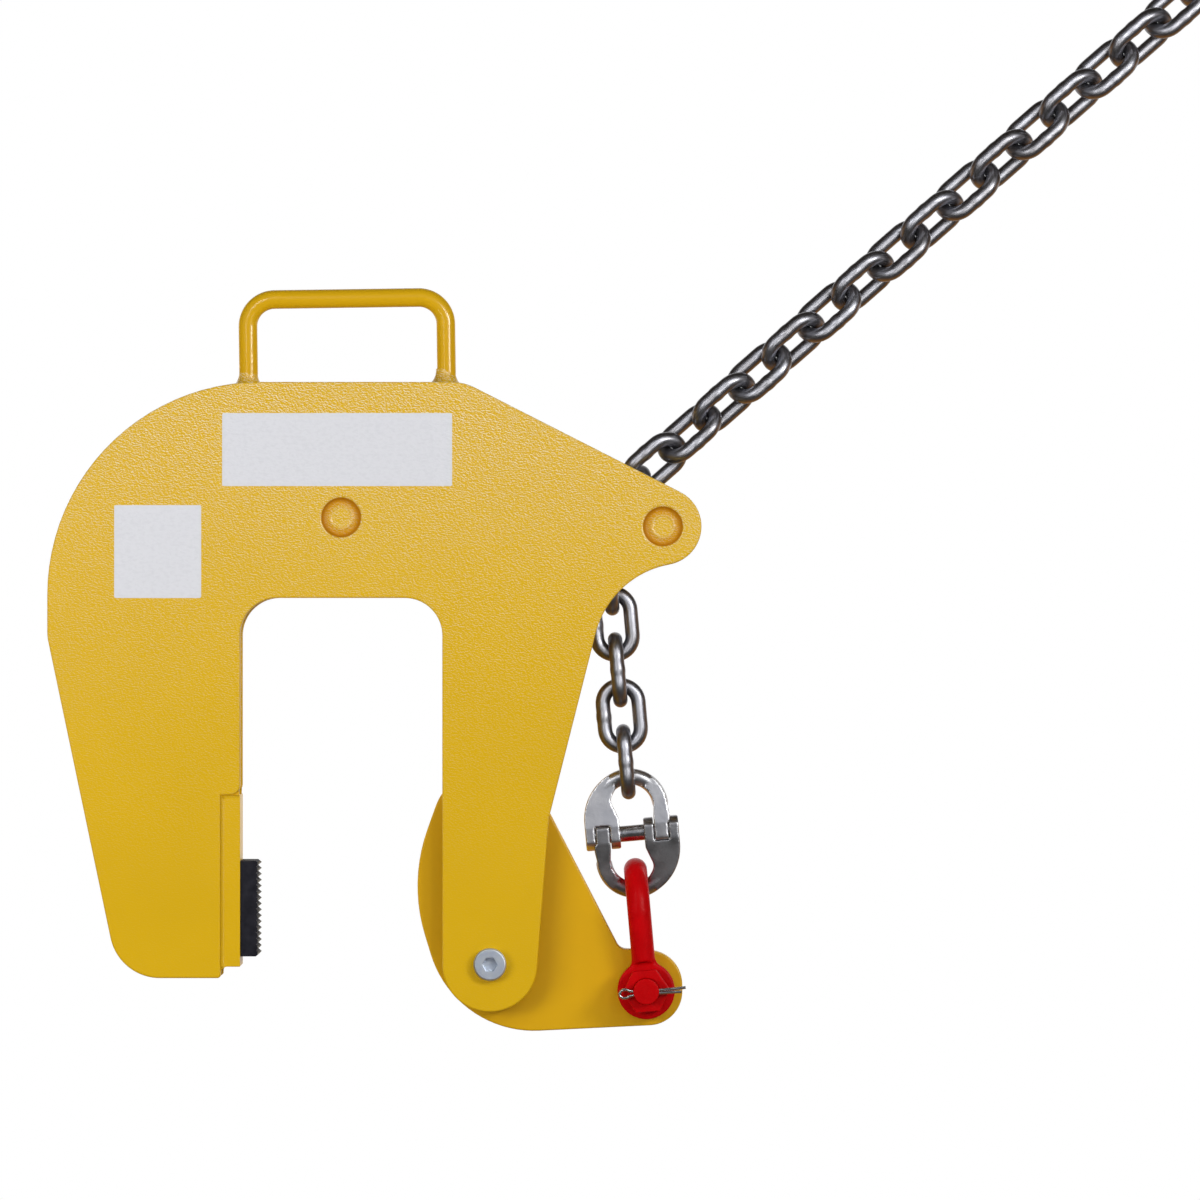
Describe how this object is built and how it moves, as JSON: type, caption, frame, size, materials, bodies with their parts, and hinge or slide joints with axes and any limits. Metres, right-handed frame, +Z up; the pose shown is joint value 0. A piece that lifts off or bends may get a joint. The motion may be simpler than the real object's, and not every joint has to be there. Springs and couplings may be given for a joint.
{
  "type": "manhole lifter",
  "caption": "Yellow clamp for lifting precast manhole sections: two side plates with a wall slot, a serrated pad, and a cam lever pulled by a chain over a nose roller.",
  "frame": {"origin": "middle of the top face of the slot that sits on the wall, halfway between the two side plates", "axes": "+Z up, +X towards the nose and the chain, +Y towards the rear side plate; the front side plate is on the -Y side"},
  "size_m": [1.1911, 0.1186, 1.0783],
  "materials": {
    "body_paint": "hammered yellow powder coat",
    "shackle_paint": "glossy red paint",
    "forged_steel": "bright forged steel",
    "chain_steel": "dark oiled chain steel",
    "zinc": "zinc-plated steel",
    "pad_steel": "blackened hardened steel",
    "bronze": "plain bearing bronze"
  },
  "bodies": {
    "clamp_frame": {"side_plate_front": "body_paint", "side_plate_rear": "body_paint", "handle_bridge": "body_paint", "carry_handle": "body_paint", "centre_tie": "body_paint", "nose_pin": "body_paint", "backing_bar": "body_paint", "grip_pad": "pad_steel", "pad_screws": "zinc", "pivot_spacers": "zinc", "pivot_bolt": "zinc", "pivot_washer": "zinc", "pivot_nut": "zinc", "hanging_link_6": "chain_steel"},
    "roller": {"guide_roller": "zinc"},
    "cam": {"cam_lever": "body_paint", "cam_bushing": "bronze"},
    "shackle": {"shackle_bow": "shackle_paint", "shackle_bolt": "shackle_paint", "shackle_nut": "shackle_paint", "shackle_cotter": "forged_steel"},
    "link_5": {"hanging_link_5": "chain_steel"},
    "link_4": {"hanging_link_4": "chain_steel"},
    "link_3": {"hanging_link_3": "chain_steel"},
    "link_2": {"hanging_link_2": "chain_steel"},
    "link_1": {"hanging_link_1": "chain_steel"},
    "coupling": {"coupling_upper_half": "forged_steel", "coupling_lower_half": "forged_steel", "coupling_pin": "forged_steel"},
    "upper_chain": {"upper_link_01": "chain_steel", "upper_link_02": "chain_steel", "upper_link_03": "chain_steel", "upper_link_04": "chain_steel", "upper_link_05": "chain_steel", "upper_link_06": "chain_steel", "upper_link_07": "chain_steel", "upper_link_08": "chain_steel", "upper_link_09": "chain_steel", "upper_link_10": "chain_steel", "upper_link_11": "chain_steel", "upper_link_12": "chain_steel", "upper_link_13": "chain_steel", "upper_link_14": "chain_steel", "upper_link_15": "chain_steel", "upper_link_16": "chain_steel", "upper_link_17": "chain_steel", "upper_link_18": "chain_steel", "end_coupling_lower_half": "forged_steel", "end_coupling_upper_half": "forged_steel", "end_coupling_pin": "forged_steel"},
    "master": {"master_link": "forged_steel"}
  },
  "joints": [
    {"name": "roller_spin", "type": "hinge", "parent": "clamp_frame", "child": "roller", "pos_m": [0.2737, 0, 0.0609], "axis": [0, -1, 0], "continuous": true},
    {"name": "cam_swing", "type": "hinge", "parent": "clamp_frame", "child": "cam", "pos_m": [0.1265, 0, -0.3116], "axis": [0, -1, 0], "range_deg": [0, 23]},
    {"name": "shackle_turn", "type": "hinge", "parent": "cam", "child": "shackle", "pos_m": [0.2594, 0, -0.334], "axis": [0, -1, 0], "range_deg": [-22, 0]},
    {"name": "link_5_rise", "type": "slide", "parent": "clamp_frame", "child": "link_5", "axis": [-0.0881, 0, 0.9961], "range_m": [0, 0.0069]},
    {"name": "link_4_rise", "type": "slide", "parent": "link_5", "child": "link_4", "axis": [-0.0881, 0, 0.9961], "range_m": [0, 0.0069]},
    {"name": "link_3_rise", "type": "slide", "parent": "link_4", "child": "link_3", "axis": [-0.0881, 0, 0.9961], "range_m": [0, 0.0069]},
    {"name": "link_2_rise", "type": "slide", "parent": "link_3", "child": "link_2", "axis": [-0.0881, 0, 0.9961], "range_m": [0, 0.0069]},
    {"name": "link_1_rise", "type": "slide", "parent": "link_2", "child": "link_1", "axis": [-0.0881, 0, 0.9961], "range_m": [0, 0.00625]},
    {"name": "coupling_rise", "type": "slide", "parent": "link_1", "child": "coupling", "axis": [-0.0881, 0, 0.9961], "range_m": [0, 0.00625]},
    {"name": "upper_chain_swing", "type": "hinge", "parent": "clamp_frame", "child": "upper_chain", "pos_m": [0.22393, 0, 0.06724], "axis": [0, -1, 0], "range_deg": [0, 45]},
    {"name": "master_link_swing", "type": "hinge", "parent": "upper_chain", "child": "master", "pos_m": [0.82366, 0, 0.6022], "axis": [0.4895, -0.6691, -0.5592], "range_deg": [0, 30]}
  ],
  "couplings": [
    {"joint": "shackle_turn", "follows": "cam_swing", "ratio": -0.93},
    {"joint": "link_5_rise", "follows": "cam_swing", "m_per_rad": 0.017064},
    {"joint": "link_4_rise", "follows": "cam_swing", "m_per_rad": 0.017064},
    {"joint": "link_3_rise", "follows": "cam_swing", "m_per_rad": 0.017064},
    {"joint": "link_2_rise", "follows": "cam_swing", "m_per_rad": 0.017064},
    {"joint": "link_1_rise", "follows": "cam_swing", "m_per_rad": 0.015445},
    {"joint": "coupling_rise", "follows": "cam_swing", "m_per_rad": 0.015445}
  ]
}
